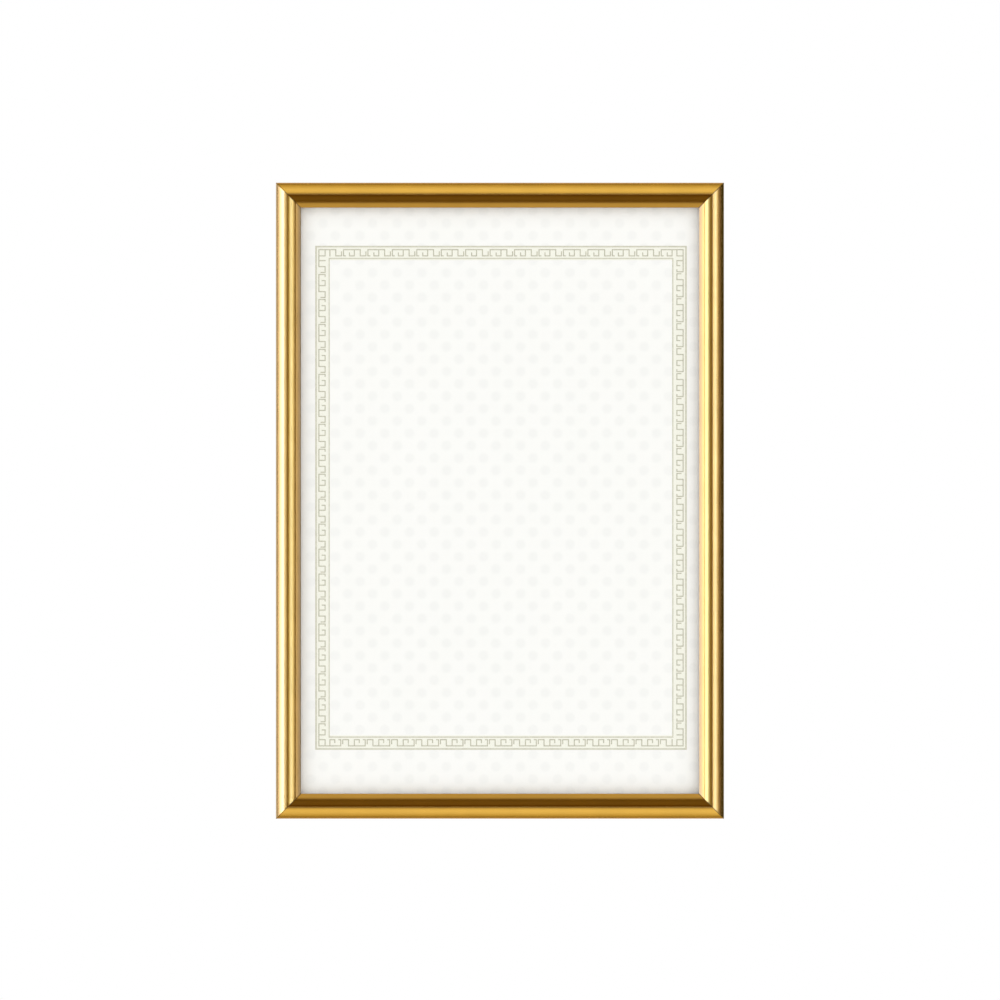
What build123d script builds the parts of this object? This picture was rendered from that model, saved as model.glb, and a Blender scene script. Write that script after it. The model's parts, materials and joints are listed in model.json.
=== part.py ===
from build123d import *
import os
from math import cos, radians, sin

# Certificate frame: four mitred mouldings round a pane, the sheet, a spacer card and a back
# board, held in by turn buttons, with two hanging plates and a folding strut behind.
# Sizes are in millimetres. +X is right and +Z up, seen from the front, which faces -Y.
# The model is drawn about the middle of the rails' back plane, and is written out about the
# eye of the portrait hanging plate, where a nail holds the frame on a wall.

# Sheet, and its play in the rebate
SHEET_WIDTH = 210.0
SHEET_HEIGHT = 304.0
REBATE_CLEARANCE = 0.5

# Layers in the rebate, from the front to the back
PANE_THICKNESS = 2.0
PANE_GAP = 0.2
SHEET_THICKNESS = 0.3
CARD_THICKNESS = 2.5
BOARD_THICKNESS = 3.0

# Section of the moulding
FACE_WIDTH = 12.5
WALL = 6.5
LIP_THICKNESS = 3.0
LIP_FALL = 0.3
SIGHT_EDGE_RADIUS = 0.4
INNER_BEAD_RADIUS = 2.25
BEAD_EDGE_ANGLE = 20.0
BEAD_STEP = 1.0
ROLL_RADIUS = 1.75
OUTER_BEAD_RADIUS = 4.0

# V-nails across the mitres
NAIL_LEG = 5.5
NAIL_THICKNESS = 0.6
NAIL_HEIGHT = 6.0
NAIL_CLEARANCE = 0.05

# Turn buttons and their screws
BUTTON_THICKNESS = 1.0
BUTTON_ROOT_RADIUS = 3.0
BUTTON_TIP_RADIUS = 2.3
BUTTON_REACH = 9.2
BUTTON_GAP = 0.1
SIDE_BUTTON_SPACING = 170.0
SCREW_RADIUS = 1.5
SCREW_LENGTH = 7.0
SCREW_TIP = 1.5
SCREW_HEAD_RADIUS = 2.7
SCREW_HEAD_TOP_RADIUS = 1.9
SCREW_HEAD_HEIGHT = 1.5
DRIVE_LENGTH = 2.8
DRIVE_WIDTH = 0.6
DRIVE_DEPTH = 0.8
PIVOT_CLEARANCE = 0.05

# Rivets
RIVET_RADIUS = 1.2
RIVET_HEAD_RADIUS = 2.2
RIVET_HEAD_TOP_RADIUS = 1.5
RIVET_HEAD_HEIGHT = 0.8
RIVET_LENGTH = 2.4
RIVET_CLEARANCE = 0.05

# Hanging plates: a flat foot on the board, and an eye that stands off it
HANGER_WIDTH = 14.0
HANGER_THICKNESS = 1.0
HANGER_STANDOFF = 1.6
EYE_RADIUS = 4.0
EYE_TO_REBATE = 20.0
EYE_TO_JOGGLE = 8.0
JOGGLE_RUN = 2.5
FOOT_LENGTH = 13.0

# Strut and its hinge
HINGE_ABOVE_BASE = 215.0
HINGE_WIDTH = 40.0
LEAF_THICKNESS = 0.8
LEAF_LENGTH = 14.0
LEAF_CORNER_RADIUS = 3.0
LEAF_RIVET_SPACING = 24.0
LEAF_RIVET_EDGE = 5.0
LEAF_TO_KNUCKLE = 0.4
KNUCKLE_RADIUS = 2.2
KNUCKLE_GAP = 0.3
CENTRE_KNUCKLE = 14.0
PIN_RADIUS = 1.0
PIN_OVERHANG = 0.5
TONGUE_WIDTH = 8.0
TONGUE_LENGTH = 5.0
STRUT_OPENING = 30.0
STRUT_THICKNESS = 2.5
STRUT_GAP = 0.5
STRUT_TOP_WIDTH = 44.0
STRUT_FOOT_WIDTH = 66.0
STRUT_CORNER_RADIUS = 4.0
STRUT_ABOVE_BASE = 16.0

# Sizes that follow from those above
REBATE_WIDTH = SHEET_WIDTH + 2 * REBATE_CLEARANCE
REBATE_HEIGHT = SHEET_HEIGHT + 2 * REBATE_CLEARANCE
REBATE_DEPTH = PANE_THICKNESS + PANE_GAP + SHEET_THICKNESS + CARD_THICKNESS + BOARD_THICKNESS
FRAME_WIDTH = REBATE_WIDTH + 2 * WALL
FRAME_HEIGHT = REBATE_HEIGHT + 2 * WALL
HANGER_BACK = HANGER_STANDOFF + HANGER_THICKNESS
EYE_Z = REBATE_HEIGHT / 2 - EYE_TO_REBATE
HINGE_Y = KNUCKLE_RADIUS + KNUCKLE_GAP
HINGE_Z = HINGE_ABOVE_BASE - FRAME_HEIGHT / 2
LEAF_START = KNUCKLE_RADIUS + LEAF_TO_KNUCKLE
FIXED_LEAF_OUTER = LEAF_THICKNESS - HINGE_Y
STRUT_OUTER = STRUT_GAP + STRUT_THICKNESS - HINGE_Y
MOVING_LEAF_OUTER = STRUT_OUTER + LEAF_THICKNESS
AT_HINGE = Pos(0, HINGE_Y, HINGE_Z)
TO_EYE = Pos(0, -HANGER_BACK, -EYE_Z)
CORNERS = {
    "top_left": (-1, 1),
    "top_right": (1, 1),
    "bottom_left": (-1, -1),
    "bottom_right": (1, -1),
}


def moulding_section():
    """Section of a rail: X runs inwards from its outer side, Y forwards from its back."""
    lip_front = REBATE_DEPTH + LIP_THICKNESS
    bead_foot = lip_front + LIP_FALL
    bead_half = INNER_BEAD_RADIUS * cos(radians(BEAD_EDGE_ANGLE))
    bead_top = bead_foot + INNER_BEAD_RADIUS * (1 - sin(radians(BEAD_EDGE_ANGLE)))
    crest = bead_top + BEAD_STEP
    groove = OUTER_BEAD_RADIUS + ROLL_RADIUS
    shoulder = (0, crest - OUTER_BEAD_RADIUS)
    ridge = (OUTER_BEAD_RADIUS, crest)
    roll_end = (groove, crest - ROLL_RADIUS)
    bead_start = (groove, bead_foot)
    bead_mid = (groove + bead_half, bead_top)
    bead_end = (groove + 2 * bead_half, bead_foot)
    lip_end = (FACE_WIDTH - SIGHT_EDGE_RADIUS, lip_front)
    sight = (FACE_WIDTH, lip_front - SIGHT_EDGE_RADIUS)
    outline = Polyline(sight, (FACE_WIDTH, REBATE_DEPTH), (WALL, REBATE_DEPTH), (WALL, 0), (0, 0), shoulder)
    outline += TangentArc(shoulder, ridge, tangent=(0, 1))
    outline += TangentArc(ridge, roll_end, tangent=(1, 0))
    outline += Line(roll_end, bead_start)
    outline += ThreePointArc(bead_start, bead_mid, bead_end)
    outline += Line(bead_end, lip_end)
    outline += TangentArc(lip_end, sight, tangent=(1, 0))
    return make_face(outline)


def rail(length, half_span):
    """Mitred rail along X whose outer side lies half_span below the middle of the frame."""
    left_end = Plane((-length / 2, 0, -half_span), x_dir=(0, 0, 1), z_dir=(1, 0, 0))
    bar = extrude(left_end * moulding_section(), length)
    for side in (-1, 1):
        mitre = Plane((side * length / 2, 0, -half_span), x_dir=(0, 1, 0), z_dir=(-side, 0, -1))
        bar = split(bar, mitre, keep=Keep.TOP)
    return bar


def rails(cuts):
    """The four rails in their places, with the nails' slots and the screws' holes cut."""
    end_rail = rail(FRAME_WIDTH, FRAME_HEIGHT / 2)
    side_rail = rail(FRAME_HEIGHT, FRAME_WIDTH / 2)
    return {
        "bottom_rail": end_rail - cuts,
        "left_rail": Rot(0, 90, 0) * side_rail - cuts,
        "top_rail": Rot(0, 180, 0) * end_rail - cuts,
        "right_rail": Rot(0, -90, 0) * side_rail - cuts,
    }


def v_nail(side, end, clearance=0.0):
    """V-nail across one mitre, flush with the back; with a clearance, the slot that it fills."""
    thickness = NAIL_THICKNESS + 2 * clearance
    leg = NAIL_LEG + clearance
    height = NAIL_HEIGHT + clearance
    behind = -thickness / 2
    inwards_x = Pos(behind, 0, 0) * Box(
        leg - behind, height, thickness, align=(Align.MIN, Align.MAX, Align.CENTER)
    )
    inwards_z = Pos(0, 0, behind) * Box(
        thickness, height, leg - behind, align=(Align.CENTER, Align.MAX, Align.MIN)
    )
    if side > 0:
        inwards_x = Rot(0, 180, 0) * inwards_x
    if end > 0:
        inwards_z = Rot(0, 180, 0) * inwards_z
    apex = Pos(side * (FRAME_WIDTH - WALL) / 2, 0, end * (FRAME_HEIGHT - WALL) / 2)
    return apex * (inwards_x + inwards_z)


def panel(thickness, front):
    """Flat layer in the rebate whose front lies that far in front of the rails' back."""
    return Pos(0, thickness / 2 - front, 0) * Box(SHEET_WIDTH, thickness, SHEET_HEIGHT)


def button_places():
    """Pivots of the turn buttons: X points inwards over the board, Z out of the back."""
    side_x = (FRAME_WIDTH - WALL) / 2
    side_z = SIDE_BUTTON_SPACING / 2
    end_z = (FRAME_HEIGHT - WALL) / 2
    pivots = {
        "left_upper": ((-side_x, 0, side_z), (1, 0, 0)),
        "left_lower": ((-side_x, 0, -side_z), (1, 0, 0)),
        "right_upper": ((side_x, 0, side_z), (-1, 0, 0)),
        "right_lower": ((side_x, 0, -side_z), (-1, 0, 0)),
        "top": ((0, 0, end_z), (0, 0, -1)),
        "bottom": ((0, 0, -end_z), (0, 0, 1)),
    }
    return {
        name: Plane(point, x_dir=inwards, z_dir=(0, 1, 0)).location
        for name, (point, inwards) in pivots.items()
    }


def turn_button():
    """Teardrop plate with its pivot hole at the wide end."""
    root = Circle(BUTTON_ROOT_RADIUS)
    tip = Pos(BUTTON_REACH, 0) * Circle(BUTTON_TIP_RADIUS)
    outline = make_hull(root.edges() + tip.edges())
    pivot_hole = Circle(SCREW_RADIUS + PIVOT_CLEARANCE)
    return Pos(0, 0, BUTTON_GAP) * extrude(outline - pivot_hole, BUTTON_THICKNESS)


def fastener_head(base, radius, top_radius, height):
    """Round head with a sloping edge, its underside at that Z."""
    return Pos(0, 0, base + height / 2) * Cone(radius, top_radius, height)


def button_screw():
    """Cross-head screw whose pointed shank passes through the button into the rail."""
    head_base = BUTTON_THICKNESS + 2 * BUTTON_GAP
    head_top = head_base + SCREW_HEAD_HEIGHT
    head = fastener_head(head_base, SCREW_HEAD_RADIUS, SCREW_HEAD_TOP_RADIUS, SCREW_HEAD_HEIGHT)
    tip_top = SCREW_TIP - SCREW_LENGTH
    shank = Pos(0, 0, tip_top) * extrude(Circle(SCREW_RADIUS), head_base - tip_top)
    point = Pos(0, 0, tip_top - SCREW_TIP / 2) * Cone(0, SCREW_RADIUS, SCREW_TIP)
    drive = Rectangle(DRIVE_LENGTH, DRIVE_WIDTH) + Rectangle(DRIVE_WIDTH, DRIVE_LENGTH)
    recess = Pos(0, 0, head_top) * extrude(drive, -DRIVE_DEPTH)
    return head + shank + point - recess


def screw_hole():
    """Pilot hole for a button's screw."""
    return extrude(Circle(SCREW_RADIUS + PIVOT_CLEARANCE), -SCREW_LENGTH - PIVOT_CLEARANCE)


def rivet():
    """Rivet with its head's underside at Z = 0 and its shank below."""
    head = fastener_head(0, RIVET_HEAD_RADIUS, RIVET_HEAD_TOP_RADIUS, RIVET_HEAD_HEIGHT)
    return head + extrude(Circle(RIVET_RADIUS), -RIVET_LENGTH)


def rivet_hole():
    """Hole that a rivet's shank fills."""
    return extrude(Circle(RIVET_RADIUS + RIVET_CLEARANCE), -RIVET_LENGTH - RIVET_CLEARANCE)


def hanger_places():
    """Places of the eyes on the board's back: Y points to the edge that hangs uppermost."""
    eye_x = REBATE_WIDTH / 2 - EYE_TO_REBATE
    return {
        "portrait": Plane((0, 0, EYE_Z), x_dir=(-1, 0, 0), z_dir=(0, 1, 0)).location,
        "landscape": Plane((eye_x, 0, 0), x_dir=(0, 0, 1), z_dir=(0, 1, 0)).location,
    }


def hanger_rivet():
    """Place of a hanging plate's rivet, from its eye."""
    return Pos(0, -EYE_TO_JOGGLE - JOGGLE_RUN - FOOT_LENGTH / 2, HANGER_THICKNESS)


def hanger():
    """Stamped strap with a round eye, joggled so that the eye stands off the board."""
    bend = EYE_TO_JOGGLE + JOGGLE_RUN
    length = bend + FOOT_LENGTH
    top = HANGER_WIDTH / 2
    under = [(-length, 0), (-bend, 0), (-EYE_TO_JOGGLE, HANGER_STANDOFF), (top, HANGER_STANDOFF)]
    over = [(y, z + HANGER_THICKNESS) for y, z in reversed(under)]
    side_view = Plane.YZ * make_face(Polyline(*under, *over, close=True))
    strap = extrude(side_view, HANGER_WIDTH / 2, both=True)
    outline = Pos(0, (top - length) / 2) * SlotOverall(length + top, HANGER_WIDTH, 90)
    strap = strap & extrude(outline, HANGER_BACK)
    eye = extrude(Circle(EYE_RADIUS), HANGER_BACK)
    return strap - [eye, hanger_rivet() * rivet_hole()]


def leaf_rivets(direction, outer):
    """Places of a hinge leaf's two rivets, above (1) or below (-1) the pin, from the pin."""
    z = direction * (LEAF_START + LEAF_LENGTH - LEAF_RIVET_EDGE)
    half = LEAF_RIVET_SPACING / 2
    return [Plane((x, outer, z), z_dir=(0, 1, 0)).location for x in (-half, half)]


def leaf_plate(direction, outer):
    """Flat of a hinge leaf above (1) or below (-1) the pin, its outer face at that Y."""
    middle = direction * (LEAF_START + LEAF_LENGTH / 2)
    plate = Pos(0, outer - LEAF_THICKNESS / 2, middle) * Box(HINGE_WIDTH, LEAF_THICKNESS, LEAF_LENGTH)
    corners = plate.edges().filter_by(Axis.Y).sort_by(Axis.Z)
    plate = fillet(corners[-2:] if direction > 0 else corners[:2], LEAF_CORNER_RADIUS)
    return plate - [place * rivet_hole() for place in leaf_rivets(direction, outer)]


def leaf_roll(start, length, direction, outer):
    """One roll of the hinge along X, with the neck that joins it to its leaf."""
    roll = Plane((start, 0, 0), z_dir=(1, 0, 0)) * extrude(Circle(KNUCKLE_RADIUS), length)
    neck = Box(length, LEAF_THICKNESS, LEAF_START, align=Align.MIN)
    neck_z = 0 if direction > 0 else -LEAF_START
    return roll + Pos(start, outer - LEAF_THICKNESS, neck_z) * neck


def pin_hole():
    """Running hole for the hinge pin, right through the rolls."""
    return Rot(0, 90, 0) * Cylinder(PIN_RADIUS + PIVOT_CLEARANCE, HINGE_WIDTH)


def hinge_fixed_leaf():
    """Leaf on the board, rolled at both ends of the pin. The pin is at the origin."""
    roll = (HINGE_WIDTH - CENTRE_KNUCKLE) / 2 - KNUCKLE_GAP
    leaf = leaf_plate(1, FIXED_LEAF_OUTER)
    for start in (-HINGE_WIDTH / 2, HINGE_WIDTH / 2 - roll):
        leaf += leaf_roll(start, roll, 1, FIXED_LEAF_OUTER)
    return leaf - pin_hole()


def hinge_moving_leaf():
    """Leaf on the strut, with the middle roll and the tongue that stops it when it is open."""
    leaf = leaf_plate(-1, MOVING_LEAF_OUTER)
    leaf += leaf_roll(-CENTRE_KNUCKLE / 2, CENTRE_KNUCKLE, -1, MOVING_LEAF_OUTER)
    tongue = Box(TONGUE_WIDTH, LEAF_THICKNESS, TONGUE_LENGTH, align=(Align.CENTER, Align.MIN, Align.MIN))
    stopped = Pos(0, FIXED_LEAF_OUTER + KNUCKLE_GAP, 0) * tongue
    leaf += Rot(-STRUT_OPENING, 0, 0) * stopped
    return leaf - pin_hole()


def hinge_pin():
    """Plain pin along X that stands out a little at both ends."""
    return Rot(0, 90, 0) * Cylinder(PIN_RADIUS, HINGE_WIDTH + 2 * PIN_OVERHANG)


def strut_board():
    """Tapered easel leg hanging from the pin, folded flat behind the back board."""
    foot = STRUT_ABOVE_BASE - HINGE_ABOVE_BASE
    outline = Polyline(
        (-STRUT_TOP_WIDTH / 2, -LEAF_START),
        (STRUT_TOP_WIDTH / 2, -LEAF_START),
        (STRUT_FOOT_WIDTH / 2, foot),
        (-STRUT_FOOT_WIDTH / 2, foot),
        close=True,
    )
    face = make_face(outline)
    face = fillet(face.vertices(), STRUT_CORNER_RADIUS)
    outer_face = Plane((0, STRUT_OUTER, 0), x_dir=(1, 0, 0), z_dir=(0, -1, 0))
    leg = extrude(outer_face * face, STRUT_THICKNESS)
    return leg - [place * rivet_hole() for place in leaf_rivets(-1, MOVING_LEAF_OUTER)]


def frame_nodes(buttons):
    """The mouldings and the V-nails that join them."""
    cuts = [place * screw_hole() for place in buttons.values()]
    cuts += [v_nail(side, end, NAIL_CLEARANCE) for side, end in CORNERS.values()]
    nodes = rails(cuts)
    for name, (side, end) in CORNERS.items():
        nodes["corner_nail_" + name] = v_nail(side, end)
    return nodes


def layer_nodes(rivet_places):
    """The layers in the rebate, front to back, with the board drilled for its rivets."""
    sheet_front = REBATE_DEPTH - PANE_THICKNESS - PANE_GAP
    board = panel(BOARD_THICKNESS, BOARD_THICKNESS)
    return {
        "glazing_pane": panel(PANE_THICKNESS, REBATE_DEPTH),
        "certificate_sheet": panel(SHEET_THICKNESS, sheet_front),
        "spacer_card": panel(CARD_THICKNESS, sheet_front - SHEET_THICKNESS),
        "back_board": board - [place * rivet_hole() for place in rivet_places],
    }


def button_nodes(buttons):
    """The turn buttons and the screws that they turn on."""
    button = turn_button()
    screw = button_screw()
    nodes = {"turn_button_" + name: place * button for name, place in buttons.items()}
    nodes["button_screws"] = Compound([place * screw for place in buttons.values()])
    return nodes


def strut_nodes():
    """The strut, its hinge and the rivets that ride on it."""
    strut_rivet_places = leaf_rivets(-1, MOVING_LEAF_OUTER)
    return {
        "strut_board": AT_HINGE * strut_board(),
        "strut_hinge_fixed_leaf": AT_HINGE * hinge_fixed_leaf(),
        "strut_hinge_moving_leaf": AT_HINGE * hinge_moving_leaf(),
        "strut_hinge_pin": AT_HINGE * hinge_pin(),
        "strut_rivets": Compound([AT_HINGE * place * rivet() for place in strut_rivet_places]),
    }


def build():
    """Every node by name, about the middle of the rails' back plane."""
    buttons = button_places()
    hangers = hanger_places()
    rivet_places = [eye * hanger_rivet() for eye in hangers.values()]
    rivet_places += [AT_HINGE * place for place in leaf_rivets(1, FIXED_LEAF_OUTER)]
    nodes = frame_nodes(buttons) | layer_nodes(rivet_places) | button_nodes(buttons) | strut_nodes()
    for name, place in hangers.items():
        nodes["hanger_" + name] = place * hanger()
    nodes["board_rivets"] = Compound([place * rivet() for place in rivet_places])
    return nodes


os.makedirs("parts", exist_ok=True)
for node_name, node_shape in build().items():
    export_step(TO_EYE * node_shape, f"parts/{node_name}.step")
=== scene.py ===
import json
import math

import bmesh
import bpy
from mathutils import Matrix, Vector


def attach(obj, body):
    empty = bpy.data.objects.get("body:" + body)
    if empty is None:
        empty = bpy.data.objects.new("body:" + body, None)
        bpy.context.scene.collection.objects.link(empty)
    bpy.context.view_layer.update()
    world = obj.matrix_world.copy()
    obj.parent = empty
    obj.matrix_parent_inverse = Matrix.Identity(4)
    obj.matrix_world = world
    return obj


# Certificate frame: the solids with their finishes, the printed border on the sheet, a pale floor,
# soft light and a camera that looks straight at the front. The scene is in metres. Sizes of the frame
# and of the print are written in millimetres.
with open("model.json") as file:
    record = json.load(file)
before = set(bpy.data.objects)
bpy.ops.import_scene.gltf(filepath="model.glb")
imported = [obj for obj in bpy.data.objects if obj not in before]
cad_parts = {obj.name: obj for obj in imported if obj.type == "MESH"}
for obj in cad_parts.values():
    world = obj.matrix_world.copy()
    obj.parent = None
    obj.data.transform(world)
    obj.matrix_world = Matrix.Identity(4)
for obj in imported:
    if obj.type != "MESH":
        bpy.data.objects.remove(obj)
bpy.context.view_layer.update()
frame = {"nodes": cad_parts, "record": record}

MM = 0.001
WHITE = (1.0, 1.0, 1.0, 1.0)

# The frame, as the solids have it. Y is 0 at the hanging plates' back and grows to the back.
HALF_WIDTH = 112.0
HALF_HEIGHT = 159.0
CENTRE_Z = -132.5
BASE_Z = CENTRE_Z - HALF_HEIGHT
BEAD_FOOT = -12.38
FLANK_START = (BEAD_FOOT - 0.6, BEAD_FOOT + 0.4)
SHEET_FRONT = -8.4
BOARD_BACK = -2.6
STRUT_START = (BOARD_BACK + 0.15, BOARD_BACK + 0.35)

# Places across a rail's face, from its outer edge. A pair is where a change begins and ends.
FACE_WIDTH = 12.5
OUTER_EDGE = (0.5, 2.0)
OUTER_CREST = (3.7, 4.5)
GROOVE = 5.75
GROOVE_CHANGE = (GROOVE - 0.3, GROOVE + 0.3)
SLOPE_END = (GROOVE - 0.6, GROOVE + 0.3)
LIP_FOOT = (8.8, 9.8)

# Reach of the dull groove from its middle, and of the dark joint from the mitre
GROOVE_REACH = (0.15, 0.55)
JOINT_REACH = (0.12, 0.42)

# Roughness of the gold foil on the outer and inner bead, and what is added to it elsewhere
OUTER_SATIN = 0.27
INNER_SATIN = 0.38
SLOPE_ROUGHER = 0.25
LIP_SMOOTHER = -0.11
EDGE_SMOOTHER = -0.08
FLANK_ROUGHER = 0.22
JOINT_ROUGHNESS = 0.6
CORE_ROUGHNESS = 0.85

# Colours of the gold foil on the rails' outer sides, in the groove and at the mitres
FLANK_TONE = (0.78, 0.50, 0.13, 1.0)
GROOVE_TONE = (0.60, 0.36, 0.07, 1.0)
JOINT_TONE = (0.09, 0.045, 0.012, 1.0)

# Camera, in metres: half a millimetre to a pixel of a 1000 pixel picture
CAMERA_SPAN = 0.5
CAMERA_AT = (0.00005, -2.0, CENTRE_Z * MM + 0.00035)

# Printed border, measured from the middle of the sheet, in millimetres
BORDER_AT = (0.55, 1.45)
OUTER_LINE = (92.5, 125.6, 0.8)
INNER_LINE = (85.9, 119.65, 0.6)
KEY_OUTER = (91.3, 124.3)
KEY_BAND = 3.6
KEY_STROKE = 0.5
KEY_CORNER = 5.75
KEY_UNITS = (14, 19)

# Strokes of one turn of the key, as shares of its length along the band
KEY_FIRST = 0.24
KEY_SECOND = 0.475
KEY_BOX = 0.555
KEY_HOOK = 0.8
KEY_TAIL = 0.1

# Where the key's two short strokes begin, as shares of the band's width
KEY_STEP = 0.3
KEY_CURL = 0.45

# Ink, in front of the sheet
INK_BACK = 0.005
INK_FRONT = 0.045

# Dots on the paper
DOT_PITCH = 12.35
DOT_RADIUS = 2.7
DOT_EDGE = (0.75, 1.1)
DOT_AT = (-2.0, -3.35)

# Noise lies between these values nearly everywhere
NOISE_LOW = 0.3
NOISE_HIGH = 0.7

# Floor and lamps, in metres and watts
FLOOR_HALF = 4.0
TOP_LAMP = {"place": (0.0, 0.9, 2.2), "aim": (0.0, 0.9, 0.0), "size": 1.7, "power": 16.0}
BACK_LAMP = {"place": (0.8, 1.6, 0.8), "aim": (0.0, 0.0, CENTRE_Z * MM), "size": 1.8, "power": 26.0}

# Surroundings: where a change begins and ends, in a direction's height for LEVEL and ZENITH, in its X
# for WIDE and the sides, and in its Y for the others. BEHIND is measured from BEHIND_Y.
LEVEL = (0.08, 0.18)
ZENITH = (0.45, 1.0)
WIDE = (-0.9, 0.9)
RIGHT_DIMMING = (0.08, 0.36)
RIGHT_WARMING = (0.05, 0.3)
LEFT_STRIP = (-0.28, -0.05)
STRIP_FRONT = (-0.55, -0.15)
BEHIND_Y = 0.25
BEHIND = (0.15, 0.45)
AROUND_FRONT = (0.25, 0.6)

# Surroundings: strengths at the beginning and at the end of a change, and colours
SIDES_FILL = (1.03, 0.15)
ABOVE_FILL = (1.1, 0.88)
ZENITH_SHARE = (1.0, 0.6)
BEHIND_SHARE = (0.4, 1.0)
STRIP_STRENGTH = 8.8
STRIP_SHARE = (1.0, 0.02)
AROUND_FILL = (0.146, 1.237)
STRIP_COLOUR = (0.38, 0.46, 1.0, 1.0)
WARM_COLOUR = (1.0, 0.84, 0.2, 1.0)


def node(tree, kind, inputs=None, **settings):
    """A shader node whose inputs are linked to sockets or set to values."""
    made = tree.nodes.new("ShaderNode" + kind)
    for name, value in settings.items():
        setattr(made, name, value)
    for name, value in (inputs or {}).items():
        if isinstance(value, bpy.types.NodeSocket):
            tree.links.new(value, made.inputs[name])
        else:
            made.inputs[name].default_value = value
    return made


def calc(tree, operation, a, b=0.0, c=0.0):
    """Result of one sum on numbers or sockets."""
    return node(tree, "Math", {0: a, 1: b, 2: c}, operation=operation).outputs[0]


def remap(tree, value, low, high, to_low=0.0, to_high=1.0, smooth=True):
    """Value carried from one range to another, held at the ends."""
    inputs = {"Value": value, "From Min": low, "From Max": high, "To Min": to_low, "To Max": to_high}
    kind = "SMOOTHSTEP" if smooth else "LINEAR"
    return node(tree, "MapRange", inputs, interpolation_type=kind).outputs["Result"]


def blend(tree, factor, first, second):
    """Mix of two colours."""
    made = node(tree, "Mix", data_type="RGBA", blend_type="MIX")
    for index, value in ((0, factor), (6, first), (7, second)):
        if isinstance(value, bpy.types.NodeSocket):
            tree.links.new(value, made.inputs[index])
        else:
            made.inputs[index].default_value = value
    return made.outputs[2]


def ramp(tree, value, stops):
    """Colour ramp through (place, colour) stops."""
    made = node(tree, "ValToRGB", {"Fac": value})
    elements = made.color_ramp.elements
    while len(elements) < len(stops):
        elements.new(0.5)
    for element, (place, colour) in zip(elements, stops):
        element.position = place
        element.color = (*colour, 1.0)
    return made.outputs["Color"]


def noise(tree, vector, scale, detail=3.0, roughness=0.55):
    """Value of a noise pattern, about one half on average."""
    inputs = {"Vector": vector, "Scale": scale, "Detail": detail, "Roughness": roughness}
    return node(tree, "TexNoise", inputs).outputs["Fac"]


def spread(tree, value, low, high):
    """Noise carried to a range."""
    return remap(tree, value, NOISE_LOW, NOISE_HIGH, low, high)


def two_tone(tree, value, dark, light):
    """Noise carried to colours between two tones."""
    return ramp(tree, value, [(NOISE_LOW, dark), (NOISE_HIGH, light)])


def stretched(tree, vector, scale):
    """Coordinates scaled by different amounts along X, Y and Z."""
    return node(tree, "VectorMath", {0: vector, 1: scale}, operation="MULTIPLY").outputs["Vector"]


def bump(tree, height, strength, depth):
    """Normal bent by a height."""
    inputs = {"Height": height, "Strength": strength, "Distance": depth}
    return node(tree, "Bump", inputs).outputs["Normal"]


def new_material(name, **fixed):
    """A material with one Principled shader, its fixed inputs set, and object coordinates."""
    made = bpy.data.materials.new(name)
    made.use_nodes = True
    tree = made.node_tree
    tree.nodes.clear()
    shader = node(tree, "BsdfPrincipled")
    for key, value in fixed.items():
        shader.inputs[key.replace("_", " ")].default_value = value
    output = node(tree, "OutputMaterial")
    tree.links.new(shader.outputs["BSDF"], output.inputs["Surface"])
    coords = node(tree, "TexCoord").outputs["Object"]
    return made, tree, shader, coords


def connect(tree, shader, **sockets):
    """Links sockets to the shader's inputs."""
    for key, socket in sockets.items():
        tree.links.new(socket, shader.inputs[key.replace("_", " ")])


def split(tree, coords):
    """X, Y and Z in millimetres, X and Z from the middle of the frame."""
    parts = node(tree, "SeparateXYZ", {"Vector": coords}).outputs
    x = calc(tree, "MULTIPLY", parts["X"], 1000.0)
    y = calc(tree, "MULTIPLY", parts["Y"], 1000.0)
    z = calc(tree, "MULTIPLY_ADD", parts["Z"], 1000.0, -CENTRE_Z)
    return x, y, z


def facing_back(tree):
    """Y part of a face's normal: 1 where it faces the back, -1 where it faces the front."""
    normal = node(tree, "NewGeometry").outputs["Normal"]
    return node(tree, "SeparateXYZ", {"Vector": normal}).outputs["Y"]


def distance(tree, value, place):
    """How far a value lies from a place, on either side."""
    return calc(tree, "ABSOLUTE", calc(tree, "SUBTRACT", value, place))


def rail_places(tree, x, z):
    """Distances from the nearest outer edge and from the mitre, and 1 on end rails, 0 on side rails."""
    from_side = calc(tree, "SUBTRACT", HALF_WIDTH, calc(tree, "ABSOLUTE", x))
    from_end = calc(tree, "SUBTRACT", HALF_HEIGHT, calc(tree, "ABSOLUTE", z))
    across = calc(tree, "MINIMUM", from_side, from_end)
    on_end = calc(tree, "LESS_THAN", from_end, from_side)
    return across, distance(tree, from_side, from_end), on_end


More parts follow.
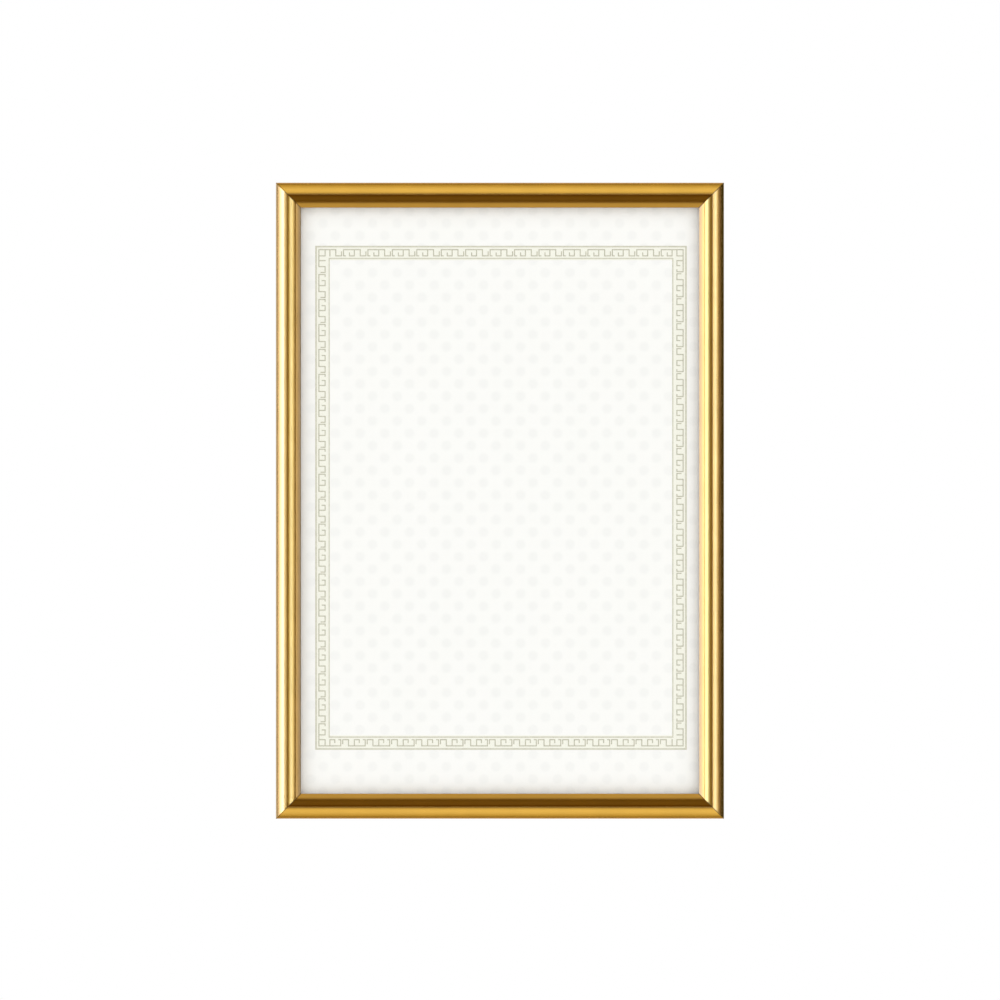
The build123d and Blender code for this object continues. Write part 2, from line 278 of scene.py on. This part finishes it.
def rail_tone_painted_light(tree, across, on_end):
    """Colour of the foil across a rail's face, with light and shade painted in. On side rails it carries
    painted highlights on both beads' crests and painted shade at the outer edge, about the groove and
    towards the lip; on end rails painted shade makes the inner bead near black.
    """
    face = calc(tree, "DIVIDE", across, FACE_WIDTH)
    # Side rails: painted highlights on the crests of both beads, painted shade at the outer edge, about the
    # groove and towards the lip.
    side_gold_and_painted_light = ramp(tree, face, [
        (0.0, (0.50, 0.31, 0.09)), (0.09, (0.50, 0.31, 0.08)), (0.17, (0.55, 0.27, 0.07)),
        (0.25, (0.93, 0.57, 0.12)), (0.31, (0.86, 0.58, 0.17)), (0.38, (0.94, 0.63, 0.17)),
        (0.44, (0.70, 0.44, 0.08)), (0.50, (0.37, 0.21, 0.02)), (0.54, (0.36, 0.21, 0.025)),
        (0.62, (0.60, 0.42, 0.105)), (0.67, (0.92, 0.62, 0.135)), (0.72, (0.90, 0.55, 0.12)),
        (0.79, (0.67, 0.39, 0.082)), (0.88, (0.46, 0.265, 0.064)), (0.97, (0.33, 0.213, 0.073)),
    ])
    # End rails: painted shade makes the inner bead near black, and the outer edge a little darker.
    end_gold_and_painted_shade = ramp(tree, face, [
        (0.0, (0.62, 0.29, 0.02)), (0.05, (0.90, 0.44, 0.03)), (0.22, (0.89, 0.51, 0.082)),
        (0.43, (0.87, 0.50, 0.082)), (0.475, (0.185, 0.073, 0.001)), (0.74, (0.185, 0.073, 0.001)),
        (0.86, (0.63, 0.335, 0.05)),
    ])
    return blend(tree, on_end, side_gold_and_painted_light, end_gold_and_painted_shade)


def rail_grain(tree, x, y, z, across):
    """Fine streaks that run along the rails."""
    along = calc(tree, "ADD", x, z)
    place = {"X": calc(tree, "MULTIPLY", across, 6.0), "Y": along, "Z": y}
    streaks = stretched(tree, node(tree, "CombineXYZ", place).outputs[0], (1.0, 0.05, 1.0))
    return noise(tree, streaks, 1.0, 4.0)


def rail_satin(tree, across, on_side, flank):
    """Roughness of the foil: on side rails the outer bead's inner slope is rougher and the lip smoother."""
    satin = remap(tree, across, *GROOVE_CHANGE, OUTER_SATIN, INNER_SATIN)
    change = remap(tree, across, *SLOPE_END, SLOPE_ROUGHER, 0.0)
    change = calc(tree, "MULTIPLY", change, remap(tree, across, *OUTER_CREST))
    change = calc(tree, "ADD", change, remap(tree, across, *LIP_FOOT, 0.0, LIP_SMOOTHER))
    satin = calc(tree, "MULTIPLY_ADD", change, on_side, satin)
    satin = calc(tree, "ADD", satin, remap(tree, across, *OUTER_EDGE, EDGE_SMOOTHER, 0.0))
    return calc(tree, "MULTIPLY_ADD", flank, FLANK_ROUGHER, satin)


def rail_tangent(tree, on_side, on_end, flank):
    """Direction for the brushed gloss: across a rail on its face, and along it on its outer side."""
    sideways = distance(tree, on_side, flank)
    upright = distance(tree, on_end, flank)
    return node(tree, "CombineXYZ", {"X": sideways, "Y": 0.2, "Z": upright}).outputs[0]


def gold_moulding():
    """Gold foil with painted highlights and painted shade across the rails' faces, a dull groove and dark
    joint lines at the mitres, and the bare fibre core behind.
    """
    made, tree, shader, coords = new_material(
        "gold_moulding_foil", Anisotropic=1.0, Coat_Weight=0.08, Coat_Roughness=0.15
    )
    x, y, z = split(tree, coords)
    across, from_mitre, on_end = rail_places(tree, x, z)
    on_side = calc(tree, "SUBTRACT", 1.0, on_end)
    flank = remap(tree, y, *FLANK_START)
    groove = remap(tree, distance(tree, across, GROOVE), *GROOVE_REACH, 1.0, 0.0)
    joint = remap(tree, from_mitre, *JOINT_REACH, 1.0, 0.0)
    back = remap(tree, facing_back(tree), 0.6, 0.8)
    grain = rail_grain(tree, x, y, z, across)
    cloud = noise(tree, coords, 60.0, 2.0)
    fibres = noise(tree, coords, 900.0, 5.0, 0.7)

    # This tone carries the painted highlights and painted shade of the rails' faces.
    tone = blend(tree, flank, rail_tone_painted_light(tree, across, on_end), FLANK_TONE)
    shade = calc(tree, "ADD", spread(tree, grain, 0.95, 1.03), spread(tree, cloud, -0.03, 0.03))
    foil = node(tree, "VectorMath", {0: tone, "Scale": shade}, operation="SCALE").outputs["Vector"]
    foil = blend(tree, groove, foil, GROOVE_TONE)
    foil = blend(tree, calc(tree, "MULTIPLY", joint, 0.75), foil, JOINT_TONE)
    core = two_tone(tree, fibres, (0.30, 0.20, 0.11), (0.47, 0.34, 0.20))
    colour = blend(tree, back, foil, core)

    satin = rail_satin(tree, across, on_side, flank)
    rough = calc(tree, "ADD", satin, spread(tree, grain, 0.0, 0.06))
    rough = calc(tree, "MAXIMUM", rough, calc(tree, "MULTIPLY", joint, JOINT_ROUGHNESS))
    rough = calc(tree, "MAXIMUM", rough, calc(tree, "MULTIPLY", back, CORE_ROUGHNESS))
    dull = calc(tree, "MAXIMUM", back, calc(tree, "MULTIPLY", groove, 0.8))
    metal = calc(tree, "SUBTRACT", 1.0, dull)
    height = calc(tree, "MULTIPLY_ADD", calc(tree, "MULTIPLY", back, fibres), 6.0, grain)
    brushed = rail_tangent(tree, on_side, on_end, flank)
    connect(tree, shader, Base_Color=colour, Roughness=rough, Metallic=metal, Tangent=brushed)
    connect(tree, shader, Normal=bump(tree, height, 0.15, 0.00003))
    return made


def clear_pane():
    """Clear glass with a trace of green and faint wiping marks, which lets light through to the sheet."""
    made, tree, shader, coords = new_material(
        "clear_pane_glass", Transmission_Weight=1.0, IOR=1.2, Specular_IOR_Level=0.1
    )
    marks = noise(tree, stretched(tree, coords, (1.0, 1.0, 0.25)), 45.0, 4.0)
    tint = ramp(tree, marks, [(0.35, (0.985, 0.99, 0.985)), (0.65, (0.992, 0.995, 0.992))])
    rough = remap(tree, marks, 0.45, 0.75, 0.0, 0.02)
    connect(tree, shader, Base_Color=tint, Roughness=rough)
    ray = node(tree, "LightPath").outputs
    lighting = calc(tree, "MAXIMUM", ray["Is Diffuse Ray"], ray["Is Shadow Ray"])
    open_way = node(tree, "BsdfTransparent", {"Color": (0.99, 0.99, 0.985, 1.0)}).outputs[0]
    either = node(tree, "MixShader", {0: lighting, 1: shader.outputs["BSDF"], 2: open_way}).outputs[0]
    tree.links.new(either, tree.nodes["Material Output"].inputs["Surface"])
    return made


def paper_dots(tree, x, z):
    """A lattice of soft dots, 1 in a dot and 0 between them."""
    across = calc(tree, "SUBTRACT", x, DOT_AT[0])
    upwards = calc(tree, "SUBTRACT", z, DOT_AT[1])
    diagonals = {
        "X": calc(tree, "DIVIDE", calc(tree, "ADD", across, upwards), DOT_PITCH),
        "Y": calc(tree, "DIVIDE", calc(tree, "SUBTRACT", across, upwards), DOT_PITCH),
    }
    lattice = node(tree, "CombineXYZ", diagonals).outputs[0]
    cell = node(tree, "VectorMath", {0: lattice}, operation="FRACTION").outputs["Vector"]
    offset = node(tree, "VectorMath", {0: cell, 1: (0.5, 0.5, 0.0)}, operation="DISTANCE").outputs["Value"]
    radius = DOT_RADIUS * math.sqrt(2.0) / DOT_PITCH
    return remap(tree, offset, DOT_EDGE[0] * radius, DOT_EDGE[1] * radius, 1.0, 0.0)


def paper_band(tree, x, z):
    """1 between the border's two lines and 0 elsewhere."""
    side = calc(tree, "SUBTRACT", distance(tree, x, BORDER_AT[0]), OUTER_LINE[0])
    end = calc(tree, "SUBTRACT", distance(tree, z, BORDER_AT[1]), OUTER_LINE[1])
    outside = calc(tree, "MAXIMUM", side, end)
    width = OUTER_LINE[0] - INNER_LINE[0]
    within = remap(tree, outside, 0.0, 0.4, 1.0, 0.0)
    return calc(tree, "MULTIPLY", within, remap(tree, outside, -width - 0.4, -width))


def certificate_paper():
    """Warm white paper with a faint lattice of dots and a cream band under the border."""
    made, tree, shader, coords = new_material("certificate_paper_stock", Specular_IOR_Level=0.25)
    x, _, z = split(tree, coords)
    fibres = noise(tree, coords, 1600.0, 4.0, 0.65)
    clouds = noise(tree, coords, 35.0, 2.0)
    dot = calc(tree, "MULTIPLY", paper_dots(tree, x, z), 0.8)
    band = calc(tree, "MULTIPLY", paper_band(tree, x, z), 0.9)
    paper = two_tone(tree, fibres, (0.965, 0.962, 0.942), (0.985, 0.982, 0.962))
    paper = blend(tree, spread(tree, clouds, 0.0, 0.5), paper, (0.978, 0.975, 0.96, 1.0))
    paper = blend(tree, dot, paper, (0.924, 0.924, 0.908, 1.0))
    paper = blend(tree, band, paper, (0.915, 0.91, 0.81, 1.0))
    rough = spread(tree, fibres, 0.55, 0.75)
    connect(tree, shader, Base_Color=paper, Roughness=rough, Normal=bump(tree, fibres, 0.12, 0.00002))
    return made


def border_ink(name, dark, light):
    """Olive grey printing ink, a little uneven."""
    made, tree, shader, coords = new_material(name, Specular_IOR_Level=0.2)
    uneven = noise(tree, coords, 700.0, 4.0)
    colour = two_tone(tree, uneven, dark, light)
    connect(tree, shader, Base_Color=colour, Roughness=spread(tree, uneven, 0.5, 0.7))
    return made


def grey_card():
    """Matt grey card with flecks."""
    made, tree, shader, coords = new_material("grey_card_stock", Specular_IOR_Level=0.2)
    fibres = noise(tree, coords, 1200.0, 5.0, 0.7)
    colour = two_tone(tree, fibres, (0.23, 0.22, 0.19), (0.34, 0.33, 0.29))
    connect(tree, shader, Base_Color=colour, Roughness=spread(tree, fibres, 0.8, 0.95))
    connect(tree, shader, Normal=bump(tree, fibres, 0.3, 0.00004))
    return made


def hardboard():
    """Brown pressed fibre with flecks, darker on the strut and paler at the sawn edges."""
    made, tree, shader, coords = new_material("hardboard_fibre", Specular_IOR_Level=0.35)
    flecks = noise(tree, stretched(tree, coords, (1.0, 1.0, 0.35)), 700.0, 6.0, 0.75)
    cloud = noise(tree, coords, 22.0, 3.0)
    colour = ramp(tree, flecks, [
        (0.25, (0.085, 0.045, 0.02)), (0.5, (0.17, 0.095, 0.045)), (0.75, (0.29, 0.18, 0.095)),
    ])
    colour = blend(tree, spread(tree, cloud, 0.0, 0.45), colour, (0.22, 0.125, 0.06, 1.0))
    _, y, _ = split(tree, coords)
    strut = remap(tree, y, *STRUT_START, 0.0, 0.45)
    colour = blend(tree, strut, colour, (0.075, 0.04, 0.02, 1.0))
    edge = remap(tree, calc(tree, "ABSOLUTE", facing_back(tree)), 0.3, 0.6, 0.6, 0.0)
    colour = blend(tree, edge, colour, (0.33, 0.21, 0.115, 1.0))
    rough = spread(tree, flecks, 0.42, 0.62)
    connect(tree, shader, Base_Color=colour, Roughness=rough, Normal=bump(tree, flecks, 0.25, 0.00006))
    return made


def plated(name, dark, light, low, high, stretch):
    """Plated metal with rubbing marks and a slightly uneven tone."""
    made, tree, shader, coords = new_material(name, Metallic=1.0)
    marks = noise(tree, stretched(tree, coords, stretch), 900.0, 4.0, 0.6)
    cloud = noise(tree, coords, 160.0, 3.0)
    colour = two_tone(tree, cloud, dark, light)
    rough = calc(tree, "ADD", spread(tree, marks, low, high), spread(tree, cloud, -0.05, 0.05))
    connect(tree, shader, Base_Color=colour, Roughness=rough, Normal=bump(tree, marks, 0.2, 0.00003))
    return made


def zinc_steel():
    """Zinc plate with its spangle."""
    made, tree, shader, coords = new_material("zinc_steel_plate", Metallic=1.0)
    spangle = node(tree, "TexVoronoi", {"Vector": coords, "Scale": 900.0}).outputs["Color"]
    flake = node(tree, "SeparateColor", {"Color": spangle}).outputs["Red"]
    marks = noise(tree, coords, 2200.0, 3.0)
    colour = ramp(tree, flake, [(0.0, (0.42, 0.43, 0.45)), (1.0, (0.58, 0.59, 0.60))])
    rough = remap(tree, flake, 0.0, 1.0, 0.28, 0.42)
    rough = calc(tree, "ADD", rough, spread(tree, marks, -0.04, 0.04))
    connect(tree, shader, Base_Color=colour, Roughness=rough, Normal=bump(tree, marks, 0.15, 0.00002))
    return made


def dress_nodes():
    """Gives each solid the finish of its slot in the record."""
    nickel = plated(
        "nickel_plate_satin", (0.55, 0.54, 0.51), (0.70, 0.69, 0.66), 0.2, 0.36, (0.25, 1.0, 1.0)
    )
    brass = plated(
        "brass_plate_stamped", (0.60, 0.41, 0.14), (0.76, 0.55, 0.22), 0.22, 0.4, (1.0, 1.0, 0.25)
    )
    finishes = {
        "gold_moulding": gold_moulding(),
        "clear_pane": clear_pane(),
        "certificate_paper": certificate_paper(),
        "grey_card": grey_card(),
        "hardboard": hardboard(),
        "nickel_plate": nickel,
        "zinc_steel": zinc_steel(),
        "brass_plate": brass,
    }
    for subpart in frame["record"]["subparts"]:
        solid = frame["nodes"][subpart["node"]]
        solid.data.materials.clear()
        solid.data.materials.append(finishes[subpart["material_slot"]])


def rectangle_lines(half_width, half_height, width):
    """Four strokes that make a rectangle, as (x0, x1, z0, z1) about the middle of the sheet."""
    w = width / 2
    x, z = half_width, half_height
    return [
        (-x - w, x + w, z - w, z + w),
        (-x - w, x + w, -z - w, -z + w),
        (-x - w, -x + w, -z + w, z - w),
        (x - w, x + w, -z + w, z - w),
    ]


def key_unit(period):
    """Strokes of one turn of the key, as (t0, t1, s0, s1): t along the band, s inwards."""
    w, band = KEY_STROKE, KEY_BAND
    h = w / 2
    first, second = KEY_FIRST * period, KEY_SECOND * period
    box, hook = KEY_BOX * period, KEY_HOOK * period
    return [
        (-h, h, 0.0, band),
        (h, first - h, 0.0, w),
        (first - h, first + h, 0.0, band),
        (first + h, second - h, band - w, band),
        (second - h, second + h, KEY_STEP * band, band),
        (box - h, box + h, 0.0, band),
        (box + h, period - h, 0.0, w),
        (box + h, box + KEY_TAIL * period, band - w, band),
        (hook - h, period - h, band - w, band),
        (hook - h, hook + h, KEY_CURL * band, band - w),
    ]


def key_side(length, units):
    """Strokes of the key along one side, from its first corner block to its last."""
    period = (length - 2 * KEY_CORNER) / units
    strokes = []
    for i in range(units):
        start = KEY_CORNER + i * period
        strokes += [(t0 + start, t1 + start, s0, s1) for t0, t1, s0, s1 in key_unit(period)]
    end, h = length - KEY_CORNER, KEY_STROKE / 2
    strokes.append((end - h, end + h, 0.0, KEY_BAND))
    strokes.append((KEY_BAND, KEY_CORNER - h, 0.0, KEY_STROKE))
    strokes.append((end + h, length - KEY_BAND, 0.0, KEY_STROKE))
    return strokes


def key_border():
    """Strokes of the key round the sheet, as (x0, x1, z0, z1), with a square in each corner."""
    half_x, half_z = KEY_OUTER
    strokes = []
    for t0, t1, s0, s1 in key_side(2 * half_x, KEY_UNITS[0]):
        strokes.append((t0 - half_x, t1 - half_x, half_z - s1, half_z - s0))
        strokes.append((half_x - t1, half_x - t0, s0 - half_z, s1 - half_z))
    for t0, t1, s0, s1 in key_side(2 * half_z, KEY_UNITS[1]):
        strokes.append((s0 - half_x, s1 - half_x, half_z - t1, half_z - t0))
        strokes.append((half_x - s1, half_x - s0, t0 - half_z, t1 - half_z))
    middle = KEY_BAND / 2
    reach = middle - KEY_STROKE / 2
    for side in (-1, 1):
        for end in (-1, 1):
            x, z = side * (half_x - middle), end * (half_z - middle)
            for x0, x1, z0, z1 in rectangle_lines(reach, reach, KEY_STROKE):
                strokes.append((x + x0, x + x1, z + z0, z + z1))
    return strokes


def add_stroke(mesh, stroke):
    """One flat closed bar of ink, just in front of the sheet."""
    x0, x1, z0, z1 = stroke
    back, front = SHEET_FRONT - INK_BACK, SHEET_FRONT - INK_FRONT
    ring = [(x0, z0), (x1, z0), (x1, z1), (x0, z1)]
    ring = [((x + BORDER_AT[0]) * MM, (z + BORDER_AT[1] + CENTRE_Z) * MM) for x, z in ring]
    near = [mesh.verts.new((x, front * MM, z)) for x, z in ring]
    far = [mesh.verts.new((x, back * MM, z)) for x, z in ring]
    mesh.faces.new(near)
    mesh.faces.new(reversed(far))
    for i in range(4):
        j = (i + 1) % 4
        mesh.faces.new((near[j], near[i], far[i], far[j]))


def printed_piece(name, strokes, ink):
    """A piece made of ink strokes that stays on the sheet."""
    mesh = bmesh.new()
    for stroke in strokes:
        add_stroke(mesh, stroke)
    data = bpy.data.meshes.new(name)
    mesh.to_mesh(data)
    mesh.free()
    data.materials.append(ink)
    piece = bpy.data.objects.new(name, data)
    bpy.context.scene.collection.objects.link(piece)
    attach(piece, "frame")


def print_border():
    """The two lines and the key between them."""
    line_ink = border_ink("border_line_ink", (0.59, 0.57, 0.455), (0.71, 0.69, 0.575))
    key_ink = border_ink("border_key_ink", (0.46, 0.44, 0.33), (0.60, 0.58, 0.46))
    printed_piece("border_outer_line", rectangle_lines(*OUTER_LINE), line_ink)
    printed_piece("border_inner_line", rectangle_lines(*INNER_LINE), line_ink)
    printed_piece("border_key", key_border(), key_ink)


def floor():
    """Plain pale floor under the frame's lower edge."""
    made, tree, shader, coords = new_material("floor_pale", Specular_IOR_Level=0.1, Emission_Strength=0.3)
    cloud = noise(tree, coords, 3.0, 2.0)
    colour = two_tone(tree, cloud, (0.86, 0.86, 0.86), (0.88, 0.88, 0.88))
    connect(tree, shader, Base_Color=colour, Roughness=spread(tree, cloud, 0.75, 0.85))
    mesh = bpy.data.meshes.new("floor")
    corners = [(-1, -1), (1, -1), (1, 1), (-1, 1)]
    places = [(x * FLOOR_HALF, y * FLOOR_HALF, BASE_Z * MM) for x, y in corners]
    mesh.from_pydata(places, [], [(0, 1, 2, 3)])
    mesh.materials.append(made)
    plane = bpy.data.objects.new("floor", mesh)
    plane.visible_glossy = False
    plane.visible_diffuse = False
    bpy.context.scene.collection.objects.link(plane)


def background(tree, colour, strength):
    """Light from all round, of a colour and a strength that may depend on the direction."""
    return node(tree, "Background", {"Color": colour, "Strength": strength}).outputs[0]


def tent_light(tree, way, height, level):
    """Tent that metals reflect: bright, but warm and dim on the right at the frame's level."""
    sides = remap(tree, way["X"], *RIGHT_DIMMING, *SIDES_FILL)
    above = remap(tree, way["X"], *WIDE, *ABOVE_FILL, smooth=False)
    fill = calc(tree, "MULTIPLY_ADD", calc(tree, "SUBTRACT", sides, above), level, above)
    fill = calc(tree, "MULTIPLY", fill, remap(tree, height, *ZENITH, *ZENITH_SHARE))
    behind = remap(tree, distance(tree, way["Y"], BEHIND_Y), *BEHIND, *BEHIND_SHARE)
    fill = calc(tree, "MULTIPLY", fill, behind)
    right = calc(tree, "MULTIPLY", remap(tree, way["X"], *RIGHT_WARMING), level)
    return background(tree, blend(tree, right, WHITE, WARM_COLOUR), fill)


def strip_light(tree, way, level):
    """Strong cool strip of light on the left in front, at the frame's level, that metals reflect."""
    left = remap(tree, way["X"], *LEFT_STRIP, STRIP_STRENGTH, 0.0)
    left = calc(tree, "MULTIPLY", left, remap(tree, way["Y"], *STRIP_FRONT, *STRIP_SHARE))
    return background(tree, STRIP_COLOUR, calc(tree, "MULTIPLY", left, level))


def studio_world():
    """White to the camera, a tent and a strip to metals, and light from front and back to the rest."""
    world = bpy.data.worlds.new("studio")
    world.use_nodes = True
    tree = world.node_tree
    tree.nodes.clear()
    ray = node(tree, "LightPath").outputs
    way = node(tree, "SeparateXYZ", {"Vector": node(tree, "TexCoord").outputs["Generated"]}).outputs
    height = calc(tree, "ABSOLUTE", way["Z"])
    level = remap(tree, height, *LEVEL, 1.0, 0.0)
    parts = {0: strip_light(tree, way, level), 1: tent_light(tree, way, height, level)}
    mirrored = node(tree, "AddShader", parts).outputs[0]
    ahead = remap(tree, calc(tree, "ABSOLUTE", way["Y"]), *AROUND_FRONT, *AROUND_FILL)
    around = background(tree, WHITE, ahead)
    through = calc(tree, "SUBTRACT", 1.0, ray["Is Transmission Ray"])
    glossy = calc(tree, "MULTIPLY", ray["Is Glossy Ray"], through)
    glossy = calc(tree, "MULTIPLY", glossy, calc(tree, "LESS_THAN", ray["Diffuse Depth"], 0.5))
    lit = node(tree, "MixShader", {0: glossy, 1: around, 2: mirrored}).outputs[0]
    seen = background(tree, WHITE, 1.0)
    shown = node(tree, "MixShader", {0: ray["Is Camera Ray"], 1: lit, 2: seen}).outputs[0]
    output = node(tree, "OutputWorld")
    tree.links.new(shown, output.inputs["Surface"])
    world.cycles.sampling_method = "NONE"
    bpy.context.scene.world = world


def softbox(name, place, aim, size, power):
    """Soft square light that points at a place, not seen by the camera or in reflections."""
    light = bpy.data.lights.new(name, "AREA")
    light.size = size
    light.energy = power
    lamp = bpy.data.objects.new(name, light)
    lamp.location = place
    lamp.visible_camera = False
    lamp.visible_glossy = False
    lamp.rotation_euler = (Vector(aim) - Vector(place)).to_track_quat("-Z", "Y").to_euler()
    bpy.context.scene.collection.objects.link(lamp)


def front_camera():
    """Camera straight in front of the frame, with parallel rays."""
    data = bpy.data.cameras.new("front_camera")
    data.type = "ORTHO"
    data.ortho_scale = CAMERA_SPAN
    camera = bpy.data.objects.new("front_camera", data)
    camera.location = CAMERA_AT
    camera.rotation_euler = (math.radians(90.0), 0.0, 0.0)
    bpy.context.scene.collection.objects.link(camera)
    bpy.context.scene.camera = camera


front_camera()
dress_nodes()
print_border()
floor()
studio_world()
softbox("top_softbox", **TOP_LAMP)
softbox("back_softbox", **BACK_LAMP)
bpy.context.scene.view_settings.view_transform = "Standard"
